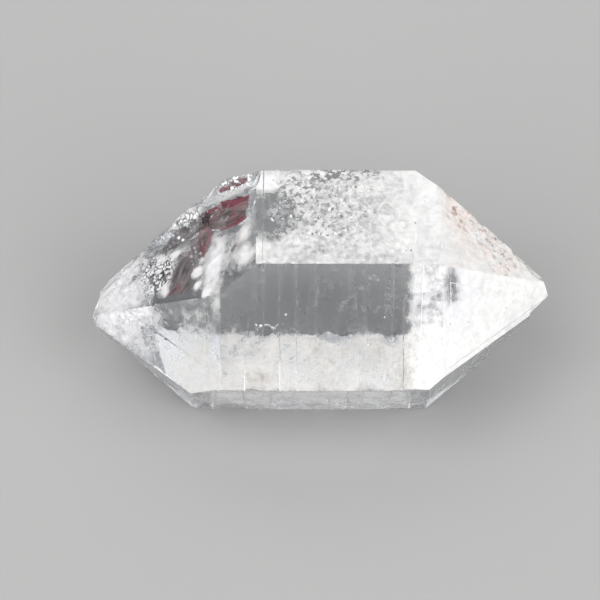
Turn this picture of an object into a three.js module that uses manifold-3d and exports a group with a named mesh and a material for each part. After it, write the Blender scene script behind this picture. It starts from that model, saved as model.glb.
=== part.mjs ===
// A small double terminated quartz crystal lying on one of its six prism faces.
// Millimetres, +Z up. X runs along the crystal's c-axis from point to point and the
// origin is on the resting face, under the middle of the bounding box.

import * as THREE from 'three';
import { ConvexGeometry } from 'three/addons/geometries/ConvexGeometry.js';
import { mergeVertices } from 'three/addons/utils/BufferGeometryUtils.js';
import Module from 'manifold-3d';

// ---------------------------------------------------------------- driving dimensions

// Widths of three neighbouring prism faces round the c-axis. Quartz keeps 120 degrees
// between them, so these and the flattening below fix the whole cross-section.
const TOP_WIDTH = 8.1;
const UPPER_FRONT_WIDTH = 8.8;
const LOWER_FRONT_WIDTH = 8.1;
const FLATTENING = 1.3; // how much wider the base is than the top face

// Angle between the c-axis and the normal of a terminal rhombohedral face.
const TERMINAL_TILT = THREE.MathUtils.degToRad(51.8);

// Compass of the six prism faces: angle of each outward normal in the YZ plane.
const PRISM_BEARING = {
  top: 90, upperFront: 150, lowerFront: 210, base: 270, lowerBack: 330, upperBack: 30,
};

// Where each terminal face starts along X, measured on its prism face.
const LEFT_START = {
  top: -4.35, upperFront: -6.7, lowerFront: -8.55, base: -8.4, lowerBack: -7.35, upperBack: -6.3,
};
const RIGHT_START = {
  top: 7.6, upperFront: 7.8, lowerFront: 6.85, base: 6.95, lowerBack: 5.7, upperBack: 6.15,
};

// Both points are broken: each break is a plane at a distance from the middle of the
// crystal, and it leans by these angles from square to the c-axis.
const TIP_BREAKS = [
  { side: -1, reach: 14.95, rise: 22, swing: 8 },
  { side: -1, reach: 15.0, rise: -38, swing: 20 },
  { side: 1, reach: 15.0, rise: -34, swing: -22 },
  { side: 1, reach: 15.15, rise: 14, swing: 10 },
];
const TIP_HEIGHT = 6.2;

// Growth steps run right across a face. Their risers slope: run for each unit of rise.
const RISER_SLOPE = 1.4;

// Tools that cut grooves, steps and pits start this far outside the faces, and hills
// are rooted this far inside them.
const TOOL_TOP = 0.12;
const HILL_ROOT = 0.3;

// ------------------------------------------------------------------ the crystal faces

const C_AXIS = new THREE.Vector3(1, 0, 0);

function prismNormal(face) {
  const bearing = THREE.MathUtils.degToRad(PRISM_BEARING[face]);
  return new THREE.Vector3(0, Math.cos(bearing), Math.sin(bearing));
}

function crossSection() {
  const step = (width, degrees) => new THREE.Vector2(
    width * Math.cos(THREE.MathUtils.degToRad(degrees)),
    width * Math.sin(THREE.MathUtils.degToRad(degrees)),
  );
  const height = (UPPER_FRONT_WIDTH + LOWER_FRONT_WIDTH) * Math.sin(Math.PI / 3);
  const topFront = new THREE.Vector2(0, height);
  const front = topFront.clone().add(step(UPPER_FRONT_WIDTH, 240));
  const baseFront = front.clone().add(step(LOWER_FRONT_WIDTH, 300));
  const baseBack = baseFront.clone().add(step(TOP_WIDTH + FLATTENING, 0));
  const back = baseBack.clone().add(step(UPPER_FRONT_WIDTH - FLATTENING, 60));
  const topBack = topFront.clone().add(step(TOP_WIDTH, 0));
  const middle = (front.x + back.x) / 2;
  const corners = { topBack, topFront, front, baseFront, baseBack, back };
  for (const corner of Object.values(corners)) corner.x -= middle;
  return corners;
}

const SECTION = crossSection();

// The two corners of the cross-section between which each prism face lies.
const FACE_CORNERS = {
  top: ['topFront', 'topBack'],
  upperFront: ['front', 'topFront'],
  lowerFront: ['baseFront', 'front'],
  base: ['baseFront', 'baseBack'],
  lowerBack: ['baseBack', 'back'],
  upperBack: ['back', 'topBack'],
};

function faceMiddle(face, x) {
  const [a, b] = FACE_CORNERS[face].map((name) => SECTION[name]);
  return new THREE.Vector3(x, (a.x + b.x) / 2, (a.y + b.y) / 2);
}

// A face is a plane with its own frame: "along" follows the c-axis or climbs to the
// point, "across" is parallel to the edge between prism and terminal face.
function makeFace(normal, along, origin) {
  return {
    normal,
    along,
    across: normal.clone().cross(along),
    origin,
    plane: new THREE.Plane().setFromNormalAndCoplanarPoint(normal, origin),
  };
}

function prismFace(face) {
  return makeFace(prismNormal(face), C_AXIS.clone(), faceMiddle(face, 0));
}

function terminalFace(face, side, start) {
  const radial = prismNormal(face);
  const outward = C_AXIS.clone().multiplyScalar(side);
  const normal = outward.clone().multiplyScalar(Math.cos(TERMINAL_TILT))
    .addScaledVector(radial, Math.sin(TERMINAL_TILT));
  const along = outward.clone().multiplyScalar(Math.sin(TERMINAL_TILT))
    .addScaledVector(radial, -Math.cos(TERMINAL_TILT));
  return makeFace(normal, along, faceMiddle(face, start));
}

function breakFace({ side, reach, rise, swing }) {
  const normal = C_AXIS.clone().multiplyScalar(side)
    .applyAxisAngle(new THREE.Vector3(0, 1, 0), -side * THREE.MathUtils.degToRad(rise))
    .applyAxisAngle(new THREE.Vector3(0, 0, 1), side * THREE.MathUtils.degToRad(swing));
  const along = new THREE.Vector3(0, 0, 1).projectOnPlane(normal).normalize();
  return makeFace(normal, along, new THREE.Vector3(side * reach, 0, TIP_HEIGHT));
}

function namedFaces() {
  const faces = {};
  for (const face of Object.keys(PRISM_BEARING)) {
    faces[face] = prismFace(face);
    faces[`left_${face}`] = terminalFace(face, -1, LEFT_START[face]);
    faces[`right_${face}`] = terminalFace(face, 1, RIGHT_START[face]);
  }
  TIP_BREAKS.forEach((tipBreak, index) => {
    faces[`break_${index}`] = breakFace(tipBreak);
  });
  return faces;
}

const FACES = namedFaces();

// Corners of the convex body inside all the face planes.
function hullCorners() {
  const planes = Object.values(FACES).map((face) => face.plane);
  const inside = 1e-6;
  const sameCorner = 1e-3;
  const corners = [];
  for (let a = 0; a < planes.length; a += 1) {
    for (let b = a + 1; b < planes.length; b += 1) {
      for (let c = b + 1; c < planes.length; c += 1) {
        const corner = meeting(planes[a], planes[b], planes[c]);
        if (!corner) continue;
        if (planes.some((plane) => plane.distanceToPoint(corner) > inside)) continue;
        if (corners.some((other) => other.distanceTo(corner) < sameCorner)) continue;
        corners.push(corner);
      }
    }
  }
  return corners;
}

function meeting(a, b, c) {
  const rows = new THREE.Matrix3().set(
    a.normal.x, a.normal.y, a.normal.z,
    b.normal.x, b.normal.y, b.normal.z,
    c.normal.x, c.normal.y, c.normal.z,
  );
  const parallel = 1e-6;
  if (Math.abs(rows.determinant()) < parallel) return null;
  return new THREE.Vector3(-a.constant, -b.constant, -c.constant).applyMatrix3(rows.invert());
}

const HULL = hullCorners();

// The straight edge between two faces, as the line between the corners they share.
function edgeBetween(first, second) {
  const onPlane = 1e-3;
  const onBoth = HULL.filter((corner) => (
    Math.abs(FACES[first].plane.distanceToPoint(corner)) < onPlane
    && Math.abs(FACES[second].plane.distanceToPoint(corner)) < onPlane
  ));
  onBoth.sort((p, q) => p.x - q.x);
  return new THREE.Line3(onBoth[0], onBoth[onBoth.length - 1]);
}

function pointOnFace(face, along, across, out = 0) {
  const { origin, normal, along: u, across: v } = FACES[face];
  return origin.clone().addScaledVector(u, along).addScaledVector(v, across).addScaledVector(normal, out);
}

// Local X, Y, Z of a tool become the face's along, across and outward directions.
function placeOnFace(geometry, face, along, across, out = 0, turn = 0) {
  const { normal, along: u, across: v } = FACES[face];
  geometry.rotateZ(turn);
  const frame = new THREE.Matrix4().makeBasis(u, v, normal);
  frame.setPosition(pointOnFace(face, along, across, out));
  return geometry.applyMatrix4(frame);
}

// -------------------------------------------------------------------- solids and tools

const wasm = await Module();
wasm.setup();

function toSolid(geometry) {
  const bare = geometry.clone();
  bare.deleteAttribute('normal');
  bare.deleteAttribute('uv');
  const welded = mergeVertices(bare, 1e-4);
  return new wasm.Manifold(new wasm.Mesh({
    numProp: 3,
    vertProperties: new Float32Array(welded.attributes.position.array),
    triVerts: new Uint32Array(welded.index.array),
  }));
}

function toGeometry(solid) {
  const { vertProperties, triVerts } = solid.getMesh();
  const geometry = new THREE.BufferGeometry();
  geometry.setAttribute('position', new THREE.BufferAttribute(vertProperties, 3));
  geometry.setIndex(new THREE.BufferAttribute(triVerts, 1));
  geometry.computeVertexNormals();
  return geometry;
}

// Small repeatable random numbers, so that every build gives the same crystal.
function randomNumbers(seed) {
  let state = seed;
  return (low, high) => {
    state = (state * 1664525 + 1013904223) % 4294967296;
    return low + (high - low) * (state / 4294967296);
  };
}

// ------------------------------------------------------------------- growth features

// The layer taken off to leave a growth step: everything on the far side of a straight
// line across the face. "turn" is the direction, in degrees, in which the face drops.
function stepLayer({ face, along, across = 0, turn, depth }) {
  const far = 30;
  const rise = depth + TOOL_TOP;
  const profile = new THREE.Shape([
    new THREE.Vector2(0, -depth),
    new THREE.Vector2(far, -depth),
    new THREE.Vector2(far, TOOL_TOP),
    new THREE.Vector2(-rise * RISER_SLOPE, TOOL_TOP),
  ]);
  const layer = new THREE.ExtrudeGeometry(profile, { depth: 2 * far, bevelEnabled: false });
  layer.translate(0, 0, -far).rotateX(Math.PI / 2);
  return placeOnFace(layer, face, along, across, 0, THREE.MathUtils.degToRad(turn));
}

// A three-sided growth hill pointing up the terminal face.
function growthHill(face, along, across, radius, height) {
  const hill = new THREE.ConeGeometry(radius, height + HILL_ROOT, 3).rotateX(Math.PI / 2);
  hill.scale(1, 1.5, 1);
  return placeOnFace(hill, face, along, across, (height - HILL_ROOT) / 2, -Math.PI / 2);
}

// A striation: a shallow groove square to the c-axis. It comes in over one side of the
// face and runs out at "tail", which may lie beyond the other side.
function striation(face, along, side, tail, width, depth) {
  const outside = side * 5.5;
  const points = [
    new THREE.Vector3(0, tail, 0),
    new THREE.Vector3(0, tail, TOOL_TOP),
    new THREE.Vector3(width * 0.15, outside, -depth),
  ];
  for (const edge of [-width / 2, width / 2]) {
    points.push(new THREE.Vector3(edge, outside, 0));
    points.push(new THREE.Vector3(edge, outside, TOOL_TOP));
  }
  return placeOnFace(new ConvexGeometry(points), face, along, 0);
}

// An etch pit: a shallow six-sided funnel, longer than it is wide.
function etchPit(face, along, across, radius, depth, turn) {
  const sides = 6;
  const points = [new THREE.Vector3(0, 0, -depth)];
  for (let index = 0; index < sides; index += 1) {
    const angle = 2 * Math.PI * index / sides;
    const x = radius * Math.cos(angle);
    const y = radius * 0.75 * Math.sin(angle);
    points.push(new THREE.Vector3(x, y, 0), new THREE.Vector3(x, y, TOOL_TOP));
  }
  return placeOnFace(new ConvexGeometry(points), face, along, across, 0, turn);
}

// Prism faces step down towards their ends. On a terminal face the steps run parallel
// to its three edges, so that they leave a low triangle standing.
function growthSteps() {
  const list = [
    { face: 'upperFront', along: 6.4, turn: -2, depth: 0.05 },
    { face: 'lowerFront', along: 4.4, turn: -2, depth: 0.04 },
    { face: 'lowerFront', along: 5.7, turn: 3, depth: 0.08 },
    { face: 'lowerFront', along: -5.2, turn: 181, depth: 0.04 },
    { face: 'lowerFront', along: -7.2, turn: 177, depth: 0.1 },
    { face: 'top', along: 6.2, turn: -4, depth: 0.04 },
    { face: 'upperBack', along: 3.6, turn: 2, depth: 0.05 },
    { face: 'upperBack', along: -3.4, turn: 183, depth: 0.05 },
    { face: 'upperBack', along: -5.0, turn: 178, depth: 0.11 },
    { face: 'lowerBack', along: 2.2, turn: -3, depth: 0.05 },
    { face: 'lowerBack', along: 4.3, turn: 1, depth: 0.11 },
    { face: 'lowerBack', along: -4.6, turn: 179, depth: 0.05 },
  ];
  const triangles = [
    { face: 'left_upperFront', foot: 1.1, reach: 9.6, depth: 0.03 },
    { face: 'left_lowerBack', foot: 0.7, reach: 7.6, depth: 0.06 },
    { face: 'left_base', foot: 0.8, reach: 7.0, depth: 0.06 },
    { face: 'right_upperFront', foot: 0.6, reach: 8.8, depth: 0.03 },
    { face: 'right_lowerBack', foot: 1.1, reach: 8.0, depth: 0.06 },
    { face: 'right_upperBack', foot: 0.9, reach: 9.0, depth: 0.07 },
  ];
  const sideTurn = 70;
  for (const { face, foot, reach, depth } of triangles) {
    list.push({ face, along: foot, turn: 180, depth });
    list.push({ face, along: reach, turn: sideTurn, depth });
    list.push({ face, along: reach, turn: -sideTurn, depth });
  }
  return list.map(stepLayer);
}

function hills() {
  const random = randomNumbers(41);
  const list = [];
  const counts = {
    left_upperFront: 4, right_upperFront: 3, right_top: 4, left_upperBack: 3,
    right_upperBack: 4, left_lowerBack: 2, right_lowerBack: 3, left_base: 2, right_base: 2,
  };
  for (const [face, count] of Object.entries(counts)) {
    for (let index = 0; index < count; index += 1) {
      const along = random(1.6, 6.0);
      const room = 1.9 * (1 - along / 8.5);
      list.push(growthHill(face, along, random(-room, room), random(0.3, 0.5), random(0.05, 0.09)));
    }
  }
  return list;
}

function striations() {
  const random = randomNumbers(7);
  const list = [];
  const reach = 6.2;
  const counts = { upperFront: 20, lowerFront: 20, upperBack: 18, lowerBack: 17, top: 7 };
  for (const [face, count] of Object.entries(counts)) {
    const gap = 2 * reach / count;
    for (let index = 0; index < count; index += 1) {
      const along = -reach + gap * (index + random(0.1, 0.9));
      const side = random(-1, 1) < 0 ? -1 : 1;
      const tail = -side * random(-3.2, 6.5);
      list.push(striation(face, along, side, tail, random(0.16, 0.5), random(0.02, 0.045)));
    }
  }
  return list;
}

// Pits crowd along the back of the top face, and thin out over the other faces.
function pits() {
  const random = randomNumbers(23);
  const list = [];
  const fields = [
    { face: 'top', count: 26, along: [-3.9, 3.4], across: [2.2, 3.7], radius: [0.12, 0.26] },
    { face: 'top', count: 16, along: [-3.7, 1.6], across: [-1.6, 2.0], radius: [0.14, 0.32] },
    { face: 'top', count: 6, along: [2.5, 6.9], across: [-3.4, 2.6], radius: [0.12, 0.22] },
    { face: 'right_top', count: 14, along: [0.5, 6.6], across: [-0.6, 1.1], radius: [0.14, 0.3] },
    { face: 'left_top', count: 12, along: [7.6, 9.8], across: [-0.9, 1.2], radius: [0.14, 0.28] },
    { face: 'left_upperFront', count: 6, along: [1.4, 7.4], across: [-1.3, 1.3], radius: [0.12, 0.24] },
    { face: 'right_upperFront', count: 4, along: [1.4, 7.0], across: [-1.2, 1.2], radius: [0.12, 0.24] },
    { face: 'upperFront', count: 5, along: [-5.4, 6.0], across: [-3.2, 3.2], radius: [0.12, 0.22] },
    { face: 'upperBack', count: 8, along: [-4.4, 5.0], across: [-3.2, 3.2], radius: [0.14, 0.28] },
    { face: 'right_upperBack', count: 5, along: [1.4, 6.6], across: [-1.6, 1.6], radius: [0.14, 0.26] },
    { face: 'left_lowerBack', count: 4, along: [1.2, 5.6], across: [-1.2, 1.2], radius: [0.14, 0.24] },
  ];
  for (const { face, count, along, across, radius } of fields) {
    for (let index = 0; index < count; index += 1) {
      const size = random(...radius);
      list.push(etchPit(face, random(...along), random(...across), size, size * 0.32, random(0, Math.PI)));
    }
  }
  return list;
}

// ---------------------------------------------------------------------- breaks and chips

// A round bite: a ball whose nearest point lies "depth" inside the surface.
function bite(point, outward, radius, depth) {
  const ball = new THREE.IcosahedronGeometry(radius, 4);
  const centre = point.clone().addScaledVector(outward, radius - depth);
  return ball.translate(centre.x, centre.y, centre.z);
}

// Scallops knocked out of an edge. "at" runs from 0 at the left end to 1 at the right.
function edgeChips() {
  const list = [
    { edge: ['base', 'lowerBack'], at: 0.07, radius: 1.5, depth: 0.3 },
    { edge: ['base', 'lowerBack'], at: 0.27, radius: 0.85, depth: 0.42 },
    { edge: ['base', 'lowerBack'], at: 0.36, radius: 1.3, depth: 0.3 },
    { edge: ['base', 'lowerBack'], at: 0.5, radius: 1.9, depth: 0.32 },
    { edge: ['base', 'lowerBack'], at: 0.66, radius: 1.1, depth: 0.26 },
    { edge: ['base', 'lowerBack'], at: 0.76, radius: 1.2, depth: 0.34 },
    { edge: ['base', 'lowerBack'], at: 0.9, radius: 1.8, depth: 0.36 },
    { edge: ['base', 'lowerFront'], at: 0.2, radius: 1.0, depth: 0.1 },
    { edge: ['base', 'lowerFront'], at: 0.88, radius: 1.6, depth: 0.16 },
    { edge: ['upperFront', 'lowerFront'], at: 0.15, radius: 1.6, depth: 0.09 },
    { edge: ['upperFront', 'lowerFront'], at: 0.72, radius: 1.2, depth: 0.07 },
    { edge: ['top', 'upperBack'], at: 0.18, radius: 1.2, depth: 0.08 },
    { edge: ['top', 'upperBack'], at: 0.62, radius: 1.8, depth: 0.1 },
    { edge: ['left_top', 'left_upperBack'], at: 0.82, radius: 2.6, depth: 0.28 },
    { edge: ['left_top', 'left_upperBack'], at: 0.52, radius: 2.2, depth: 0.2 },
    { edge: ['left_top', 'left_upperBack'], at: 0.2, radius: 2.8, depth: 0.3 },
    { edge: ['left_top', 'left_upperBack'], at: 0.05, radius: 4.5, depth: 0.42 },
    { edge: ['right_top', 'right_upperBack'], at: 0.09, radius: 0.9, depth: 0.12 },
    { edge: ['right_top', 'right_upperBack'], at: 0.4, radius: 1.0, depth: 0.14 },
    { edge: ['right_top', 'right_upperBack'], at: 0.6, radius: 0.8, depth: 0.12 },
    { edge: ['right_top', 'right_upperBack'], at: 0.8, radius: 2.4, depth: 0.24 },
    { edge: ['right_top', 'right_upperBack'], at: 0.95, radius: 2.6, depth: 0.34 },
    { edge: ['upperBack', 'lowerBack'], at: 0.3, radius: 1.5, depth: 0.2 },
    { edge: ['upperBack', 'lowerBack'], at: 0.78, radius: 1.1, depth: 0.16 },
  ];
  return list.map(({ edge, at, radius, depth }) => {
    const point = edgeBetween(...edge).at(at, new THREE.Vector3());
    const outward = FACES[edge[0]].normal.clone().add(FACES[edge[1]].normal).normalize();
    return bite(point, outward, radius, depth);
  });
}

// Wide shell-like hollows left by old flakes: egg-shaped bites that lie along the face.
function shellHollows() {
  const eggHeight = 3;
  const list = [
    { face: 'left_top', along: 2.6, across: -4.3, size: [9.5, 3.3], depth: 0.32, turn: -12 },
    { face: 'left_top', along: 6.0, across: -1.9, size: [9.5, 3.2], depth: 0.26, turn: -4 },
    { face: 'left_top', along: 2.9, across: -1.2, size: [7.2, 3.2], depth: 0.22, turn: -24 },
    { face: 'left_top', along: 4.6, across: 0.9, size: [6.4, 2.8], depth: 0.2, turn: -14 },
    { face: 'left_top', along: 2.6, across: 1.9, size: [5.2, 2.0], depth: 0.14, turn: 20 },
    { face: 'left_upperBack', along: 8.2, across: 0.6, size: [6.5, 3.4], depth: 0.2, turn: 10 },
    { face: 'left_lowerBack', along: 7.4, across: -0.2, size: [5.5, 3.0], depth: 0.18, turn: -20 },
    { face: 'right_base', along: 8.2, across: 0.2, size: [5.0, 3.2], depth: 0.2, turn: 15 },
    { face: 'break_0', along: 0.3, across: 0, size: [2.6, 3.4], depth: 0.14, turn: 0 },
    { face: 'break_3', along: 0.2, across: 0, size: [2.2, 2.6], depth: 0.1, turn: 0 },
  ];
  return list.map(({ face, along, across, size, depth, turn }) => {
    const egg = new THREE.IcosahedronGeometry(1, 9);
    egg.scale(size[0], size[1], eggHeight);
    return placeOnFace(egg, face, along, across, eggHeight - depth, THREE.MathUtils.degToRad(turn));
  });
}

// Small flat flakes are missing off the end of the right point: a place on each flat, the
// way it faces and how wide it is.
function rightPointFlats() {
  const list = [
    { at: [13.92, -1.05, 10.26], facing: [0.737, 0.489, 0.466], width: 2.4 },
    { at: [14.59, -0.26, 8.34], facing: [0.828, 0.398, 0.395], width: 6 },
    { at: [14.95, -1.2, 8.2], facing: [0.968, 0.154, 0.2], width: 6 },
    { at: [14.95, -0.3, 6.62], facing: [0.919, -0.331, -0.213], width: 6 },
  ];
  return list.map(({ at, facing, width }) => {
    const thickness = 2;
    const slab = new THREE.BoxGeometry(width, width, thickness).translate(0, 0, thickness / 2);
    slab.lookAt(new THREE.Vector3(...facing));
    return slab.translate(...at);
  });
}

// A longer flake is missing below the right point. It ends in a short step.
function rightPointFlake() {
  const facing = new THREE.Vector3(0.694, -0.574, -0.433).normalize();
  const stepFacing = new THREE.Vector3(0.981, -0.174, -0.08).normalize();
  const corner = new THREE.Vector3(13.79, -1.5, 6.43);
  const alongCorner = facing.clone().cross(stepFacing).normalize();
  const towardsPoint = alongCorner.clone().cross(facing);
  const outOfStep = alongCorner.clone().cross(stepFacing).negate();
  if (towardsPoint.dot(stepFacing) < 0) towardsPoint.negate();
  if (outOfStep.dot(facing) < 0) outOfStep.negate();
  const reach = 8;
  const across = [corner, corner.clone().addScaledVector(towardsPoint, reach),
    corner.clone().addScaledVector(outOfStep, reach)];
  const corners = across.flatMap((point) => [
    point.clone().addScaledVector(alongCorner, reach),
    point.clone().addScaledVector(alongCorner, -reach),
  ]);
  return new ConvexGeometry(corners);
}

// ------------------------------------------------------------------------ the crystal

function crystalSolid() {
  let solid = toSolid(new ConvexGeometry(HULL));
  for (const tool of growthSteps()) solid = solid.subtract(toSolid(tool));
  for (const tool of hills()) solid = solid.add(toSolid(tool));
  for (const tool of [...striations(), ...pits()]) solid = solid.subtract(toSolid(tool));
  const flakes = [...shellHollows(), ...edgeChips(), ...rightPointFlats(), rightPointFlake()];
  for (const tool of flakes) solid = solid.subtract(toSolid(tool));
  return solid;
}

const quartz = new THREE.MeshStandardMaterial({
  name: 'quartz',
  color: 0xe9e8e6,
  roughness: 0.22,
  metalness: 0,
});

// The points break off at different lengths, so the body is centred along X at the end.
function centredOnResting(geometry) {
  geometry.computeBoundingBox();
  const { min, max } = geometry.boundingBox;
  return geometry.translate(-(min.x + max.x) / 2, -(min.y + max.y) / 2, -min.z);
}

const crystal = new THREE.Mesh(centredOnResting(toGeometry(crystalSolid())), quartz);
crystal.name = 'crystal';

const part = new THREE.Group();
part.add(crystal);

export default part;
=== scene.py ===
"""Finishes a double terminated quartz crystal around its packed solid.

The crystal's own mesh is a finer copy of the solid with growth relief, and its glass
is clear in some places and frosted or stained in others, and its frost has round white
spots that are painted highlights. Milky veils, stained cracks with dark sheets of
painted shade among them, milky blebs that are painted highlights and tiny bubbles lie
inside the left point.
"""

import math

import bmesh
import bpy
from bpy.props import FloatProperty, FloatVectorProperty, IntProperty, PointerProperty
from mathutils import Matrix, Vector


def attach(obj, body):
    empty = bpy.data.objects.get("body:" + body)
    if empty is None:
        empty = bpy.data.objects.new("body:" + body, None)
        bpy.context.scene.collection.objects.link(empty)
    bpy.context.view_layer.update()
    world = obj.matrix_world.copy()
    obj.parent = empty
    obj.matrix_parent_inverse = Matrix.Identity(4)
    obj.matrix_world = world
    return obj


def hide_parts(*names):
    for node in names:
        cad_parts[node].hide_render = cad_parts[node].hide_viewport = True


bl_info = {
    "name": "Quartz Crystal",
    "version": (1, 0, 0),
    "blender": (4, 5, 0),
    "location": "3D View > Sidebar > Quartz",
    "description": "Builds a double terminated quartz crystal and a plain stage for it",
    "category": "Add Mesh",
}

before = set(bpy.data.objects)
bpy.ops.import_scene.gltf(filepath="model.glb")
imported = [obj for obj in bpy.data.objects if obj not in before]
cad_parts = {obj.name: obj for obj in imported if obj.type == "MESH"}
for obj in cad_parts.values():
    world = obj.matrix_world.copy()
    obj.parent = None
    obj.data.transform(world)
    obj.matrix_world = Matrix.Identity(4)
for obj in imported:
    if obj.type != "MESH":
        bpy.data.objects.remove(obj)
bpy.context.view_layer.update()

MM = 0.001
BODY = "root"
NODE = "crystal"
CRYSTAL_NAME = "quartz_crystal"

# Directions of the crystal's eighteen natural faces: a bearing round the c-axis for each
# prism face, and the same bearing tilted towards either point for the faces of the points.
PRISM_BEARINGS = {
    "top": 90, "upper_front": 150, "lower_front": 210,
    "base": 270, "lower_back": 330, "upper_back": 30,
}
POINT_TILT = math.radians(51.8)

# The packed mesh is welded and its flat facets joined before it is cut finer, and each
# round of cutting halves the edges that are still too long.
WELD_DISTANCE = 0.0015 * MM
FLAT_ANGLE = math.radians(0.4)
MOST_ROUNDS = 12

# An edge that turns more than EDGE_ANGLE is left out of the growth relief, and one that
# turns more than SHARP_ANGLE is shaded sharp.
EDGE_ANGLE = math.radians(14)
SHARP_ANGLE = math.radians(16)


# ------------------------------------------------------------------------ properties


class QuartzShape(bpy.types.PropertyGroup):
    """Sizes of the fine relief that is added to the solid"""

    facet_size: FloatProperty(
        name="Facet Size", description="Longest edge left in the finished mesh",
        default=0.42 * MM, unit="LENGTH")
    swell_height: FloatProperty(
        name="Swell Height", description="How far the broad growth swells lift a face",
        default=0.012 * MM, unit="LENGTH")
    swell_size: FloatProperty(
        name="Swell Size", description="Width of one growth swell",
        default=2.4 * MM, unit="LENGTH")
    band_height: FloatProperty(
        name="Band Height", description="How far the growth bands across the prism stand up",
        default=0.01 * MM, unit="LENGTH")
    band_size: FloatProperty(
        name="Band Size", description="Width of one growth band along the c-axis",
        default=0.9 * MM, unit="LENGTH")
    ripple_height: FloatProperty(
        name="Ripple Height", description="How far a veil or crack ripples off its plane",
        default=0.25 * MM, unit="LENGTH")
    ripple_size: FloatProperty(
        name="Ripple Size", description="Width of one ripple of a veil or crack",
        default=1.2 * MM, unit="LENGTH")
    bubble_density: FloatProperty(
        name="Bubble Density", description="Tiny bubbles in each square metre of their zones",
        default=9.0e6)
    smallest_bubble: FloatProperty(
        name="Smallest Bubble", description="Radius of the smallest tiny bubble",
        default=0.025 * MM, unit="LENGTH")
    largest_bubble: FloatProperty(
        name="Largest Bubble", description="Radius of the largest tiny bubble",
        default=0.16 * MM, unit="LENGTH")
    seed: IntProperty(name="Seed", description="Picks another growth pattern", default=4)


class QuartzFinish(bpy.types.PropertyGroup):
    """Colours and clearness of the quartz"""

    clear_colour: FloatVectorProperty(
        name="Clear Colour", description="Tint of light that passes through a face",
        subtype="COLOR", size=3, default=(0.975, 0.98, 0.985))
    frost_colour: FloatVectorProperty(
        name="Frost Colour", description="Colour of the frosted and etched faces",
        subtype="COLOR", size=3, default=(0.95, 0.945, 0.935))
    lilac_colour: FloatVectorProperty(
        name="Lilac Frost", description="Frost on the left point and at the right end",
        subtype="COLOR", size=3, default=(0.95, 0.935, 0.975))
    cream_colour: FloatVectorProperty(
        name="Cream Frost", description="Colour of the frost on the upper front",
        subtype="COLOR", size=3, default=(0.465, 0.44, 0.405))
    peach_colour: FloatVectorProperty(
        name="Peach Frost", description="Frost on the right point and low on the front",
        subtype="COLOR", size=3, default=(0.95, 0.855, 0.81))
    stain_colour: FloatVectorProperty(
        name="Stain Colour", description="Colour of the iron stain in spots on the faces",
        subtype="COLOR", size=3, default=(0.37, 0.25, 0.225))
    # The veil colour is also the white of the blebs, which are painted highlights.
    veil_and_highlight_colour: FloatVectorProperty(
        name="Veil Colour", description="Colour of the milky veils, blebs and bubbles",
        subtype="COLOR", size=3, default=(0.94, 0.955, 0.985))
    # Darkened, the brown is also the painted shade of the dark sheets.
    brown_colour: FloatVectorProperty(
        name="Brown Stain", description="Colour of the brown iron stain inside",
        subtype="COLOR", size=3, default=(0.50, 0.375, 0.385))
    crimson_colour: FloatVectorProperty(
        name="Crimson Stain", description="Colour of the red iron stain along the cracks",
        subtype="COLOR", size=3, default=(0.60, 0.11, 0.18))
    absorb_colour: FloatVectorProperty(
        name="Absorption Colour", description="Colour that the stone keeps over a long way",
        subtype="COLOR", size=3, default=(0.86, 0.87, 0.89))
    absorb_density: FloatProperty(
        name="Absorption Density", description="Absorption in each metre of quartz",
        default=70.0)
    refraction: FloatProperty(
        name="Index of Refraction", description="Quartz bends light by this index",
        default=1.544)


class QuartzStage(bpy.types.PropertyGroup):
    """The floor, the lights and the camera"""

    elevation: FloatProperty(
        name="Camera Elevation", description="Height angle of the camera above the floor",
        subtype="ANGLE", default=math.radians(50))
    distance: FloatProperty(
        name="Camera Distance", description="From the camera to the point it looks at",
        default=300 * MM, unit="LENGTH")
    floor_colour: FloatVectorProperty(
        name="Floor Colour", description="Colour of the plain floor",
        subtype="COLOR", size=3, default=(0.38, 0.38, 0.38))
    floor_gap: FloatProperty(
        name="Floor Gap", description="Thin air gap that keeps the resting face a mirror inside",
        default=0.03 * MM, unit="LENGTH")
    room_colour: FloatVectorProperty(
        name="Room Colour", description="Colour of the even light from all round",
        subtype="COLOR", size=3, default=(0.98, 0.99, 1.0))
    room_strength: FloatProperty(
        name="Room Strength", description="Strength of the even light from all round",
        default=0.08)


def settings():
    """The sizes and the finishes of the crystal, for the operators."""
    return bpy.context.scene.quartz_shape, bpy.context.scene.quartz_finish


# ------------------------------------------------------------------------ mesh helpers


def natural_faces():
    """Outward normals of the natural faces by name: top, left_top, right_top and so on."""
    normals = {}
    for name, degrees in PRISM_BEARINGS.items():
        bearing = math.radians(degrees)
        radial = Vector((0, math.cos(bearing), math.sin(bearing)))
        normals[name] = radial
        for side, sign in (("left", -1), ("right", 1)):
            along = Vector((sign, 0, 0))
            normals[f"{side}_{name}"] = (
                along * math.cos(POINT_TILT) + radial * math.sin(POINT_TILT))
    return normals


NATURAL_FACES = natural_faces()


def face_name(normal):
    """The natural face that a normal is nearest to."""
    return max(NATURAL_FACES, key=lambda name: NATURAL_FACES[name].dot(normal))


def link(mesh, name):
    """A new object for the mesh, in the scene's own collection."""
    piece = bpy.data.objects.new(name, mesh)
    bpy.context.scene.collection.objects.link(piece)
    return piece


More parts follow.
